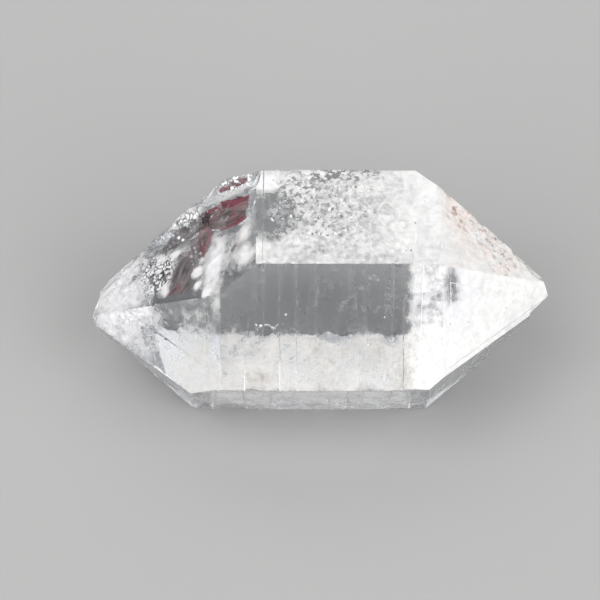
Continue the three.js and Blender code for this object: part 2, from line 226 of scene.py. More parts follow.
def fine_copy(node, name, longest):
    """A welded copy of a packed node, cut until no edge is longer than longest."""
    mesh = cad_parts[node].data.copy()
    mesh.name = name
    mesh.materials.clear()
    work = bmesh.new()
    work.from_mesh(mesh)
    bmesh.ops.remove_doubles(work, verts=work.verts, dist=WELD_DISTANCE)
    bmesh.ops.dissolve_limit(work, angle_limit=FLAT_ANGLE, verts=work.verts, edges=work.edges)
    bmesh.ops.triangulate(work, faces=work.faces, quad_method="BEAUTY", ngon_method="BEAUTY")
    for _ in range(MOST_ROUNDS):
        long_edges = [edge for edge in work.edges if edge.calc_length() > longest]
        if not long_edges:
            break
        bmesh.ops.subdivide_edges(work, edges=long_edges, cuts=1)
        many_sided = [face for face in work.faces if len(face.verts) > 3]
        bmesh.ops.triangulate(work, faces=many_sided)
    work.to_mesh(mesh)
    work.free()
    return mesh


def plain_mesh(piece):
    """Turns a piece with modifiers into a plain mesh with the same shape and material."""
    depsgraph = bpy.context.evaluated_depsgraph_get()
    result = bpy.data.meshes.new_from_object(
        piece.evaluated_get(depsgraph), preserve_all_data_layers=True, depsgraph=depsgraph)
    piece.modifiers.clear()
    piece.data = result
    return piece


def apply_nodes(piece, tree, values):
    """Adds the tree to the piece, sets its inputs by name and makes the result plain."""
    modifier = piece.modifiers.new(tree.name, "NODES")
    modifier.node_group = tree
    for item in tree.interface.items_tree:
        if item.in_out == "INPUT" and item.name in values:
            modifier[item.identifier] = values[item.name]
    return plain_mesh(piece)


# ------------------------------------------------------------------------ node helpers


class NodeKit:
    """Short ways to add and join nodes in one tree."""

    # The Mix node's sockets share their names, so they go by place: the factor, the two
    # values and the result.
    MIX_PLACES = {"RGBA": (0, 6, 7, 2), "FLOAT": (0, 2, 3, 0)}

    def __init__(self, tree):
        self.tree = tree

    def add(self, kind, inputs=None, **values):
        """A new node, with its own values set and its inputs fed."""
        node = self.tree.nodes.new(kind)
        for key, value in values.items():
            setattr(node, key, value)
        for key, value in (inputs or {}).items():
            self.feed(node.inputs[key], value)
        return node

    def feed(self, socket, value):
        """Links another node's output to the socket, or sets the socket's own value."""
        if isinstance(value, bpy.types.NodeSocket):
            self.tree.links.new(value, socket)
        else:
            socket.default_value = value

    def maths(self, operation, *values, clamp=False):
        inputs = dict(enumerate(values))
        node = self.add("ShaderNodeMath", inputs, operation=operation, use_clamp=clamp)
        return node.outputs[0]

    def vector(self, operation, *values, output=0):
        inputs = dict(enumerate(values))
        return self.add("ShaderNodeVectorMath", inputs, operation=operation).outputs[output]

    def scaled(self, vector, factor):
        inputs = {0: vector, "Scale": factor}
        return self.add("ShaderNodeVectorMath", inputs, operation="SCALE").outputs[0]

    def ramp(self, value, low, high, to_low=0.0, to_high=1.0):
        """A soft step from to_low to to_high as the value goes from low to high."""
        node = self.add(
            "ShaderNodeMapRange",
            {"Value": value, "From Min": low, "From Max": high,
             "To Min": to_low, "To Max": to_high},
            interpolation_type="SMOOTHSTEP")
        return node.outputs["Result"]

    def mix(self, factor, first, second, kind="RGBA"):
        """Goes from the first to the second, which are both colours or both numbers."""
        share, low, high, result = self.MIX_PLACES[kind]
        inputs = {share: factor, low: first, high: second}
        return self.add("ShaderNodeMix", inputs, data_type=kind).outputs[result]

    def store(self, name, geometry, value):
        """Keeps a value on the points of a curve or mesh under a name."""
        node = self.add("GeometryNodeStoreNamedAttribute",
                        {"Geometry": geometry, "Name": name},
                        data_type="FLOAT", domain="POINT")
        self.feed(node.inputs["Value"], value)
        return node.outputs[0]

    def stored(self, name, kind="FLOAT"):
        """What the points keep under a name, inside Geometry Nodes."""
        node = self.add("GeometryNodeInputNamedAttribute", {"Name": name}, data_type=kind)
        return node.outputs["Attribute"]

    def attribute(self, name):
        """What the mesh keeps under a name, inside a material."""
        return self.add("ShaderNodeAttribute", attribute_name=name).outputs["Fac"]

    def millimetres(self):
        """Object coordinates in millimetres, inside a material."""
        place = self.add("ShaderNodeTexCoord").outputs["Object"]
        scale = (1 / MM,) * 3
        return self.add("ShaderNodeMapping", {"Vector": place, "Scale": scale}).outputs[0]

    def seeded_noise(self, place, size, seed, detail=2.0):
        """Noise from 0 to 1 with swells of the given size, inside Geometry Nodes."""
        vector = self.scaled(place, self.maths("DIVIDE", 1.0, size))
        node = self.add("ShaderNodeTexNoise", {"Vector": vector, "W": seed, "Detail": detail},
                        noise_dimensions="4D")
        return node.outputs[0]


def rgba(colour):
    """The colour with full opacity."""
    return (*colour, 1.0)


def new_tree(name, floats, integers):
    """A Geometry Nodes tree with named inputs: its kit and what its inputs give."""
    tree = bpy.data.node_groups.new(name, "GeometryNodeTree")
    kinds = [("Geometry", "NodeSocketGeometry")]
    kinds += [(key, "NodeSocketFloat") for key in floats]
    kinds += [(key, "NodeSocketInt") for key in integers]
    kinds += [("Material", "NodeSocketMaterial")]
    for key, kind in kinds:
        tree.interface.new_socket(key, in_out="INPUT", socket_type=kind)
    tree.interface.new_socket("Geometry", in_out="OUTPUT", socket_type="NodeSocketGeometry")
    kit = NodeKit(tree)
    return kit, kit.add("NodeGroupInput").outputs


def close_tree(kit, geometry, material):
    """Ends a tree in Realize Instances and Set Material."""
    real = kit.add("GeometryNodeRealizeInstances", {"Geometry": geometry}).outputs[0]
    dressed = kit.add("GeometryNodeSetMaterial", {"Geometry": real, "Material": material})
    out = kit.add("NodeGroupOutput")
    kit.tree.links.new(dressed.outputs[0], out.inputs[0])
    return kit.tree


# ------------------------------------------------------------------------ growth relief

# The relief is noise less RELIEF_TOP, and never more than nothing, so it only cuts into a
# face. BAND_SLANT is how far the bands lean across the prism.
RELIEF_TOP = 0.62
BAND_SLANT = 0.08


def growth_relief_tree():
    """Geometry Nodes: broad swells on every face, and bands across the prism faces."""
    kit, inputs = new_tree(
        "quartz_growth_relief", ("Swell Height", "Swell Size", "Band Height", "Band Size"),
        ("Seed",))
    place = kit.add("GeometryNodeInputPosition").outputs[0]
    normal = kit.add("GeometryNodeInputNormal").outputs[0]

    def relief(where, name, detail):
        noise = kit.seeded_noise(where, inputs[f"{name} Size"], inputs["Seed"], detail)
        return kit.maths("MULTIPLY", kit.maths("SUBTRACT", noise, RELIEF_TOP),
                         inputs[f"{name} Height"])

    x, y, z = kit.add("ShaderNodeSeparateXYZ", {"Vector": place}).outputs
    across = kit.maths("MULTIPLY", kit.maths("ADD", y, z), BAND_SLANT)
    band_place = kit.add("ShaderNodeCombineXYZ", {"X": x, "Y": across}).outputs[0]
    swell = relief(place, "Swell", 2.0)
    band = kit.maths("MULTIPLY", relief(band_place, "Band", 1.0), kit.stored("prism"))
    lift = kit.maths("MULTIPLY", kit.maths("ADD", swell, band), kit.stored("relief"))
    lift = kit.maths("MINIMUM", lift, 0.0)
    moved = kit.add("GeometryNodeSetPosition", {
        "Geometry": inputs["Geometry"], "Offset": kit.scaled(normal, lift)})
    return close_tree(kit, moved.outputs[0], inputs["Material"])


# ------------------------------------------------------------------ where marks lie

# How frosted each natural face is, from 0 for clear to 1 for white, how hazy its clear
# parts are, and how strongly the broad blotches of the frost show. A face that isn't named
# takes the value from OTHER_FROST, OTHER_HAZE or OTHER_MOTTLE.
FACE_FROST = {
    "top": 0.66, "upper_front": -0.05, "lower_front": 0.28, "base": 0.02,
    "lower_back": 0.08, "upper_back": 0.03,
    "left_top": 0.14, "right_top": 1.0,
    "left_upper_front": 0.12, "right_upper_front": 0.92,
    "right_upper_back": 0.0, "left_upper_back": 0.05, "left_base": 0.0, "right_base": 0.1,
}
FACE_HAZE = {
    "top": 0.10, "upper_front": 0.02, "lower_front": 0.12, "base": 0.09,
    "lower_back": 0.20, "upper_back": 0.10,
    "left_top": 0.04, "left_upper_front": 0.04, "right_upper_front": 0.03,
    "right_upper_back": 0.05, "left_upper_back": 0.05, "left_base": 0.05,
}
FACE_MOTTLE = {"top": 0.4}
OTHER_FROST = 0.22
OTHER_HAZE = 0.12
OTHER_MOTTLE = 1.0

# Each mark is a soft spot: the face it lies on, its centre and half widths in
# millimetres, and the amount it adds at its centre. A fifth value is the share of the
# half widths over which the amount stays full. A half width of WIDE reaches past the face.
WIDE = 60.0
FROST_MARKS = (
    # The clear patch of the top face and the frost round it.
    ("top", (-3.7, 0.0, 14.6), (2.8, 3.0, 2.0), -0.7),
    ("top", (-3.6, 2.7, 14.6), (1.2, 0.9, 2.0), 0.85),
    ("top", (-4.6, -2.8, 14.6), (1.8, 1.6, 1.6), 0.25),
    ("top", (7.0, 0.0, 14.6), (4.2, 7.0, 2.0), 0.08),
    # A soft border between the top face and the left point.
    ("top", (-4.9, -2.4, 14.6), (0.9, 2.6, 2.0), -0.42),
    ("left_top", (-4.9, -2.2, 14.0), (0.7, 2.4, 0.9), 0.3),
    # The frosted tip of the left point.
    ("left_top", (-13.6, 0.4, 7.2), (4.2, 4.4, 4.6), 0.82),
    ("left_top", (-12.4, -1.8, 8.2), (2.6, 1.8, 2.6), 0.45),
    ("left_upper_front", (-13.0, -2.4, 7.6), (4.1, 4.1, 4.1), 0.82),
    ("left_upper_front", (-12.4, -2.4, 8.4), (2.8, 1.8, 2.2), 0.45),
    # White streaks on the left point, from the top face down, and a thin one at the back.
    ("left_top", (-4.8, -3.2, 14.1), (1.8, 1.9, 1.8), 0.5),
    ("left_top", (-4.75, -0.7, 14.2), (0.9, 1.3, 0.9), 0.48),
    ("left_top", (-5.2, -1.5, 13.9), (1.0, 1.4, 1.0), 0.42),
    ("left_top", (-5.8, -2.3, 13.4), (1.0, 1.4, 1.0), 0.4),
    ("left_top", (-6.95, -2.3, 12.5), (1.7, 4.0, 1.7), 0.95),
    ("left_top", (-9.7, 0.2, 10.35), (0.9, 0.5, 0.9), 1.1),
    ("left_top", (-10.3, -2.4, 9.9), (0.8, 1.3, 0.8), 0.8),
    ("left_top", (-6.2, 3.15, 12.9), (3.2, 0.55, 3.2), 0.75),
    ("left_top", (-5.6, 4.2, 13.0), (2.4, 0.8, 2.4), 0.18),
    # Round white spots over the blebs, painted highlights.
    ("left_top", (-8.1, -2.3, 11.6), (0.65, 0.8, 0.65), 1.3),
    ("left_top", (-7.9, -1.35, 11.8), (0.4, 0.5, 0.4), 1.1),
    ("left_top", (-8.1, -3.5, 11.6), (0.45, 0.55, 0.45), 1.2),
    ("left_top", (-7.5, -4.5, 12.1), (0.55, 0.7, 0.55), 1.2),
    # Thin frost on the window of the left point, and thicker frost below and beside it.
    ("left_upper_front", (-8.5, -4.9, 10.6), (2.6, 2.6, 2.6), 0.36),
    ("left_upper_front", (-7.6, -8.0, 6.6), (3.0, WIDE, 3.4), 0.5, 0.5),
    ("left_upper_front", (-6.75, -5.7, 11.8), (0.7, 1.6, 2.4), 0.35),
    # The frosted lower half and right end of the front, and the waves of their border.
    ("upper_front", (0.0, -8.1, 7.9), (WIDE, WIDE, 2.7), 0.72, 0.86),
    ("upper_front", (8.3, -5.4, 12.6), (3.1, WIDE, WIDE), 0.66, 0.72),
    ("upper_front", (7.0, -8.0, 8.2), (2.2, WIDE, 2.9), 0.8, 0.7),
    ("upper_front", (-5.7, -6.6, 10.6), (1.1, WIDE, 0.5), 0.45),
    ("upper_front", (-3.7, -6.6, 10.2), (0.8, WIDE, 0.4), -0.5),
    ("upper_front", (-1.9, -6.6, 10.65), (0.9, WIDE, 0.5), 0.5),
    ("upper_front", (0.9, -6.6, 10.2), (1.3, WIDE, 0.4), -0.5),
    ("upper_front", (2.9, -6.6, 10.65), (0.8, WIDE, 0.5), 0.45),
    ("upper_front", (4.4, -6.6, 10.15), (1.0, WIDE, 0.5), -0.5),
    # The clear spot on the right point.
    ("right_upper_front", (8.5, -4.5, 13.2), (1.2, 1.8, 2.1), -0.68),
    ("right_upper_front", (8.4, -5.1, 11.9), (0.9, 1.6, 1.8), -0.25),
)
SPECK_MARKS = (
    ("top", (1.2, 3.6, 14.6), (3.8, 1.0, 2.0), 1.0),
    ("top", (-1.6, 2.2, 14.6), (2.0, 1.8, 2.0), 0.7),
    ("top", (-3.2, 0.0, 14.6), (3.0, 3.0, 2.0), 0.4),
    ("top", (0.4, 0.4, 14.6), (6.5, 5.5, 2.0), 0.42),
)
STAIN_MARKS = (
    ("right_top", (9.0, 1.2, 13.5), (2.2, 2.4, 2.2), 1.15),
    ("right_top", (8.8, -3.2, 13.6), (1.1, 1.3, 1.1), 0.6),
    ("right_top", (10.0, 0.3, 12.7), (1.6, 1.2, 1.6), 0.8),
    ("right_top", (11.7, 0.0, 11.4), (3.0, 2.4, 2.8), 1.2),
    ("right_top", (11.9, -2.0, 11.2), (1.8, 1.4, 1.8), 0.9),
    ("lower_front", (0.0, -6.5, 4.0), (WIDE, WIDE, WIDE), 0.15, 0.9),
)
# Where the frost breaks into round white spots, painted highlights.
HIGHLIGHT_BEAD_MARKS = (
    ("left_top", (-10.8, -0.7, 9.5), (2.2, 2.6, 2.4), 1.0),
    ("left_top", (-5.8, 4.0, 13.4), (1.8, 0.6, 1.8), 0.27),
    ("top", (-3.0, 0.3, 14.6), (2.0, 2.4, 2.0), 0.32),
    ("left_top", (-8.9, 3.0, 11.0), (2.6, 0.9, 2.6), 0.9),
)
LILAC_MARKS = (
    ("left_top", (-7.0, -2.3, 12.5), (1.8, 4.0, 1.8), 1.0),
    ("right_upper_front", (8.9, -4.9, 12.0), (2.4, 3.6, 3.6), 1.0),
    ("upper_front", (6.9, -5.4, 12.6), (2.4, 3.4, 3.0), 1.0),
    ("left_top", (-12.5, 0.5, 8.0), (5.0, 5.0, 5.0), 1.0),
    ("left_upper_front", (-12.5, -2.5, 7.8), (5.0, 5.0, 5.0), 1.0),
    ("top", (-3.6, 2.9, 14.6), (1.6, 1.2, 2.0), 0.7),
)
PEACH_MARKS = (
    ("right_top", (11.0, -0.5, 12.0), (6.0, 5.0, 5.0), 1.0),
    ("right_top", (8.7, 0.9, 13.7), (2.2, 3.0, 2.2), 1.0),
    ("lower_front", (0.0, -6.5, 4.0), (WIDE, WIDE, WIDE), 0.8, 0.9),
)
CRACKLE_MARKS = (
    ("left_top", (-12.8, 0.8, 7.8), (4.4, 4.4, 4.4), 1.0),
    ("left_top", (-6.2, 2.9, 12.9), (3.0, 0.8, 3.0), 0.8),
    ("left_upper_front", (-12.6, -2.8, 7.6), (4.4, 4.4, 4.4), 1.0),
    ("right_top", (11.0, 0.0, 12.0), (5.0, 5.0, 5.0), 0.5),
    ("upper_front", (0.0, -6.0, 12.0), (WIDE, WIDE, WIDE), 0.45, 0.9),
)
CREAM_MARKS = (
    ("upper_front", (-2.5, -8.0, 8.0), (9.5, WIDE, WIDE), 1.0, 0.75),
    ("left_upper_front", (-8.6, -7.0, 7.0), (4.5, 4.5, 4.5), 0.65, 0.5),
)
# Haze and mottle are the same all over a face, so they have no marks.
MARKS = {
    "frost": FROST_MARKS, "haze": (), "mottle": (), "specks": SPECK_MARKS,
    "stain": STAIN_MARKS, "highlight_beads": HIGHLIGHT_BEAD_MARKS, "lilac": LILAC_MARKS, "peach": PEACH_MARKS,
    "crackle": CRACKLE_MARKS, "cream": CREAM_MARKS,
}
# What a face starts from before its marks are added. The other kinds start from nothing.
GROUNDS = {
    "frost": (FACE_FROST, OTHER_FROST), "haze": (FACE_HAZE, OTHER_HAZE),
    "mottle": (FACE_MOTTLE, OTHER_MOTTLE),
}


def smooth(low, high, value):
    """A soft step from 0 to 1 as the value goes from low to high."""
    share = min(max((value - low) / (high - low), 0.0), 1.0)
    return share * share * (3 - 2 * share)


def marked(marks, name, place):
    """The sum of one face's marks at a place."""
    total = 0.0
    for face, centre, size, amount, *core in marks:
        if face == name:
            away = Vector([(p - c) / s for p, c, s in zip(place, centre, size)]).length
            total += amount * (1 - smooth(core[0] if core else 0.0, 1.0, away))
    return total


def mark_faces(mesh):
    """Stores for each corner how much of each kind of mark its face has there."""
    for kind in MARKS:
        mesh.attributes.new(kind, "FLOAT", "CORNER")
    layers = {kind: mesh.attributes[kind].data for kind in MARKS}
    for polygon in mesh.polygons:
        name = face_name(polygon.normal)
        for corner in polygon.loop_indices:
            place = mesh.vertices[mesh.loops[corner].vertex_index].co / MM
            for kind, marks in MARKS.items():
                faces, others = GROUNDS.get(kind, ({}, 0.0))
                ground = faces.get(name, others)
                layers[kind][corner].value = ground + marked(marks, name, place)


def mark_relief(mesh):
    """Relief is full in the middle of a face and nothing on an edge or on the base."""
    relief = mesh.attributes.new("relief", "FLOAT", "POINT")
    prism = mesh.attributes.new("prism", "FLOAT", "POINT")
    work = bmesh.new()
    work.from_mesh(mesh)
    for vert in work.verts:
        names = {face_name(face.normal) for face in vert.link_faces}
        on_edge = any(
            edge.is_manifold and edge.calc_face_angle() > EDGE_ANGLE
            for edge in vert.link_edges)
        held = on_edge or "base" in names
        relief.data[vert.index].value = 0.0 if held else 1.0
        prism.data[vert.index].value = 1.0 if names <= set(PRISM_BEARINGS) else 0.0
    work.free()


# ------------------------------------------------------------------------- inclusions

# Sheets that lie inside the crystal, parallel to one natural face. Each has the face, how
# opaque it is, how red it is, where less than nothing is a darker brown that is painted
# shade, and its path: places in millimetres with the half width there.
VEILS = (
    # A thin bright line, and the broad veil behind the red crack that it lies on.
    ("left_top", 1.0, 0.0, ((-7.7, 3.2, 11.8, 0.05), (-6.9, 3.0, 12.4, 0.10),
                            (-6.2, 2.82, 12.95, 0.11), (-5.4, 2.62, 13.6, 0.11),
                            (-4.7, 2.42, 14.15, 0.08))),
    ("left_top", 1.0, 0.0, ((-8.1, 3.06, 11.1, 0.10), (-7.05, 3.2, 11.95, 0.26),
                            (-5.85, 3.0, 12.9, 0.40), (-4.45, 2.5, 14.0, 0.45))),
    # A long veil from back to front, two near the top face and a small one lower down.
    ("left_top", 1.0, 0.0, ((-6.85, 0.3, 12.0, 0.30), (-6.6, -1.3, 12.2, 0.55),
                            (-6.5, -2.6, 12.3, 0.65), (-6.8, -3.6, 12.0, 0.60),
                            (-7.2, -4.3, 11.7, 0.40))),
    ("left_top", 1.0, 0.0, ((-4.4, -0.2, 13.9, 0.30), (-5.25, -1.0, 13.25, 0.40),
                            (-5.9, -2.1, 12.75, 0.45), (-6.0, -3.65, 12.65, 0.40))),
    ("left_top", 0.8, 0.0, ((-4.7, -0.85, 13.65, 0.3), (-5.1, -1.8, 13.35, 0.5),
                            (-5.6, -2.8, 12.95, 0.6), (-5.4, -3.9, 13.1, 0.5))),
    ("left_top", 1.0, 0.0, ((-10.6, 0.25, 9.3, 0.20), (-9.8, 0.55, 9.9, 0.36),
                            (-9.0, 0.75, 10.5, 0.22))),
)
STAINS_AND_SHADE_SHEETS = (
    # The red crack: its crimson back edge, its streaked middle and its front edge.
    ("left_top", 1.0, 1.0, ((-8.0, 2.8, 11.05, 0.14), (-6.35, 2.6, 12.4, 0.28),
                            (-5.4, 2.35, 13.1, 0.30), (-4.4, 2.16, 13.9, 0.30))),
    ("left_top", 1.0, 0.30, ((-8.0, 2.3, 10.9, 0.5), (-6.9, 1.9, 11.85, 1.2),
                             (-5.7, 1.6, 12.8, 1.5), (-4.45, 1.4, 13.75, 1.2))),
    ("left_top", 1.0, 1.0, ((-6.5, 0.7, 12.2, 0.14), (-5.6, 0.5, 12.9, 0.30),
                            (-4.6, 0.6, 13.7, 0.22))),
    # The red and brown cracks that lead down from it.
    ("left_top", 0.9, 0.45, ((-7.9, 2.1, 11.2, 0.4), (-7.5, 1.0, 11.5, 0.75),
                             (-7.5, -0.2, 11.45, 0.65), (-7.5, -1.2, 11.4, 0.4))),
    ("left_top", 0.7, 0.0, ((-7.2, 0.8, 11.4, 0.8), (-8.25, -0.4, 10.6, 1.5),
                            (-8.9, -2.0, 10.1, 1.6), (-9.4, -3.1, 9.7, 0.8))),
    # Two dark sheets lower down, painted shade on the left point.
    ("left_top", 0.7, -0.6, ((-10.6, 0.9, 9.2, 0.4), (-9.4, 1.7, 10.15, 1.0),
                             (-8.3, 2.1, 11.0, 1.0), (-7.2, 2.2, 11.85, 0.5))),
    ("left_top", 0.7, -0.6, ((-10.9, -1.0, 9.0, 0.6), (-10.0, -0.2, 9.7, 0.9),
                             (-9.1, 0.5, 10.4, 0.6))),
    # A red crack along the back edge, and two small flecks.
    ("left_top", 1.0, 0.65, ((-6.75, 4.15, 12.19, 0.20), (-6.2, 4.12, 12.62, 0.40),
                             (-5.5, 4.0, 13.17, 0.42), (-4.75, 3.75, 13.76, 0.32))),
    ("left_top", 0.8, 0.9, ((-5.0, -0.85, 13.55, 0.10), (-5.35, -1.3, 13.25, 0.16),
                            (-5.8, -1.85, 12.95, 0.10))),
    ("left_top", 0.8, 0.5, ((-9.9, -2.75, 9.55, 0.2), (-9.0, -2.5, 10.3, 0.34))),
)
# Paths of the zones that hold many tiny bubbles, given like the sheets.
BUBBLE_ZONES = (
    ("left_top", 1.0, 0.0, ((-6.9, 4.0, 12.3, 0.4), (-6.0, 3.95, 12.95, 0.55),
                            (-5.2, 3.8, 13.6, 0.5), (-4.6, 3.6, 14.05, 0.35))),
    ("left_top", 1.0, 0.0, ((-10.6, 1.6, 9.25, 0.6), (-8.9, 2.6, 10.55, 1.0),
                            (-7.5, 2.9, 11.6, 0.9), (-6.0, 2.9, 12.8, 0.6))),
    ("left_top", 1.0, 0.0, ((-10.8, -0.6, 9.1, 0.9), (-9.8, 0.4, 9.9, 1.0),
                            (-8.7, 1.1, 10.75, 0.8))),
    ("left_top", 1.0, 0.0, ((-8.3, 1.1, 10.8, 0.5), (-7.8, -1.0, 11.25, 0.7),
                            (-7.7, -3.8, 11.3, 0.7))),
)
# Small milky blebs, white balls that are painted highlights: their centres and radii in
# millimetres.
HIGHLIGHT_BLEBS = (
    (-7.85, -2.0, 11.1, 0.36), (-7.7, -1.05, 11.2, 0.20),
    (-7.9, -3.2, 11.05, 0.26), (-7.35, -4.05, 11.45, 0.26),
)
# How many places each path is cut into, and how many lie side by side across it.
STEPS_ALONG = 36
STEPS_ACROSS = 11


def path_mesh(name, sheets):
    """One mesh of bare paths whose points keep the width, facing, opacity and redness."""
    mesh = bpy.data.meshes.new(name)
    places, edges = [], []
    kept = {"half_width": [], "facing": [], "opacity": [], "red": []}
    for face, opacity, red, path in sheets:
        start = len(places)
        for x, y, z, half_width in path:
            places.append(Vector((x, y, z)) * MM)
            kept["half_width"].append(half_width * MM)
            kept["facing"].append(NATURAL_FACES[face])
            kept["opacity"].append(opacity)
            kept["red"].append(red)
        edges += [(i, i + 1) for i in range(start, len(places) - 1)]
    mesh.from_pydata(places, edges, [])
    for key, values in kept.items():
        kind, field = ("FLOAT_VECTOR", "vector") if key == "facing" else ("FLOAT", "value")
        mesh.attributes.new(key, kind, "POINT")
        for item, value in zip(mesh.attributes[key].data, values):
            setattr(item, field, value)
    return mesh


def sheet_tree():
    """Geometry Nodes: sweeps a thin rippled sheet along each path, on the slope it faces."""
    kit, inputs = new_tree(
        "quartz_sheet", ("Ripple Height", "Ripple Size"),
        ("Steps Along", "Steps Across", "Seed"))
    facing = kit.stored("facing", "FLOAT_VECTOR")

    paths = kit.add("GeometryNodeMeshToCurve", {"Mesh": inputs["Geometry"]}).outputs[0]
    paths = kit.add("GeometryNodeCurveSplineType", {"Curve": paths},
                    spline_type="CATMULL_ROM").outputs[0]
    paths = kit.add("GeometryNodeResampleCurve",
                    {"Curve": paths, "Count": inputs["Steps Along"]}).outputs[0]
    paths = kit.add("GeometryNodeSetCurveNormal", {"Curve": paths, "Normal": facing},
                    mode="FREE").outputs[0]
    paths = kit.store("along", paths, kit.add("GeometryNodeSplineParameter").outputs[0])

    profile = kit.add("GeometryNodeCurvePrimitiveLine",
                      {"Start": (0, -1, 0), "End": (0, 1, 0)}).outputs[0]
    profile = kit.add("GeometryNodeResampleCurve",
                      {"Curve": profile, "Count": inputs["Steps Across"]}).outputs[0]
    profile = kit.store("across", profile, kit.add("GeometryNodeSplineParameter").outputs[0])
    swept = kit.add("GeometryNodeCurveToMesh", {
        "Curve": paths, "Profile Curve": profile, "Scale": kit.stored("half_width")})

    place = kit.add("GeometryNodeInputPosition").outputs[0]
    ripple = kit.seeded_noise(place, inputs["Ripple Size"], inputs["Seed"])
    lift = kit.maths("MULTIPLY", kit.maths("SUBTRACT", ripple, 0.5), inputs["Ripple Height"])
    moved = kit.add("GeometryNodeSetPosition", {
        "Geometry": swept.outputs[0], "Offset": kit.scaled(facing, lift)})
    return close_tree(kit, moved.outputs[0], inputs["Material"])


def bubble_tree():
    """Geometry Nodes: scatters small balls over a sheet, most of them near the smallest."""
    kit, inputs = new_tree("quartz_bubbles", ("Density", "Smallest", "Largest"), ("Seed",))
    points = kit.add("GeometryNodeDistributePointsOnFaces", {
        "Mesh": inputs["Geometry"], "Density": inputs["Density"],
        "Seed": inputs["Seed"]}).outputs[0]
    ball = kit.add("GeometryNodeMeshIcoSphere", {"Radius": 1.0, "Subdivisions": 2}).outputs[0]
    chance = kit.add("FunctionNodeRandomValue", {"Seed": inputs["Seed"]},
                     data_type="FLOAT").outputs["Value"]
    chance = kit.maths("POWER", chance, 3.0)
    size = kit.add("ShaderNodeMapRange", {
        "Value": chance, "To Min": inputs["Smallest"], "To Max": inputs["Largest"]}).outputs[0]
    balls = kit.add("GeometryNodeInstanceOnPoints", {
        "Points": points, "Instance": ball, "Scale": size}).outputs[0]
    return close_tree(kit, balls, inputs["Material"])


def sweep_sheets(name, sheets, material, shape):
    """A piece of thin rippled sheets inside the crystal, one along each path."""
    piece = link(path_mesh(name, sheets), name)
    apply_nodes(piece, sheet_tree(), {
        "Ripple Height": shape.ripple_height,
        "Ripple Size": shape.ripple_size,
        "Steps Along": STEPS_ALONG,
        "Steps Across": STEPS_ACROSS,
        "Seed": shape.seed,
        "Material": material,
    })
    return piece


def finish_inclusion(piece):
    """Smooths what lies inside the crystal and lets it ride on the crystal's body."""
    if not piece.data.polygons:
        raise RuntimeError(f"{piece.name} has no faces")
    piece.data.shade_smooth()
    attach(piece, BODY)


# -------------------------------------------------------------------------- materials


class QuartzKit(NodeKit):
    """A kit that also has the place in millimetres and the marks on the faces."""

    def __init__(self, tree):
        super().__init__(tree)
        self.place = self.millimetres()
        self.marks = {kind: self.attribute(kind) for kind in MARKS}

    def noise(self, scale, detail=2.0, rough=0.5, distortion=0.0):
        """Noise from -0.5 to 0.5, with a scale in swells for each millimetre."""
        node = self.add("ShaderNodeTexNoise", {
            "Vector": self.place, "Scale": scale, "Detail": detail, "Roughness": rough,
            "Distortion": distortion})
        return self.maths("SUBTRACT", node.outputs[0], 0.5)


def frost_cover(kit):
    """How far frost covers the glass, from 0 to 1, with broad blotches and fine grain."""
    blotches = kit.maths("MULTIPLY", kit.noise(0.7), kit.marks["mottle"])
    grain_depth = kit.maths("ADD", kit.marks["crackle"], 0.7)
    grain = kit.maths("MULTIPLY", kit.noise(2.4, 3.0, 0.65), grain_depth)
    cover = kit.maths("ADD", kit.marks["frost"], kit.maths("ADD", blotches, grain))
    return kit.ramp(cover, -0.05, 1.15)


def bare_specks(kit, cover):
    """Takes frost away along thin winding lines and in specks of two sizes."""
    line = kit.ramp(kit.maths("ABSOLUTE", kit.noise(1.15, 1.0, 0.5, 0.6)), 0.035, 0.012)
    line = kit.maths("MULTIPLY", line, kit.maths("MULTIPLY", kit.marks["specks"], 0.5))
    cover = kit.maths("SUBTRACT", cover, line)
    small = kit.ramp(kit.noise(2.8, 2.0, 0.6, 0.5), 0.0, -0.12)
    large = kit.ramp(kit.noise(1.5, 2.0, 0.6, 0.5), -0.04, -0.14)
    speck = kit.maths("MULTIPLY", kit.maths("MAXIMUM", small, large),
                      kit.maths("MULTIPLY", kit.marks["specks"], 0.75))
    return kit.maths("SUBTRACT", cover, speck, clamp=True)


def painted_highlight_beads(kit, cover):
    """Turns frost into round white spots with clear seams where they are marked: painted
    highlights.
    """
    wander = kit.add("ShaderNodeTexNoise", {"Vector": kit.place, "Scale": 1.6, "Detail": 2.0})
    shifted = kit.vector("ADD", kit.place, kit.scaled(wander.outputs["Color"], 0.9))
    cell = kit.add("ShaderNodeTexVoronoi", {"Vector": shifted, "Scale": 2.3},
                   feature="DISTANCE_TO_EDGE").outputs["Distance"]
    highlight_bead = kit.maths("ADD", cell, kit.maths("MULTIPLY", kit.noise(1.3), 0.45))
    share = kit.ramp(kit.marks["highlight_beads"], 0.1, 0.6)
    return kit.mix(share, cover, kit.ramp(highlight_bead, 0.06, 0.17), kind="FLOAT")


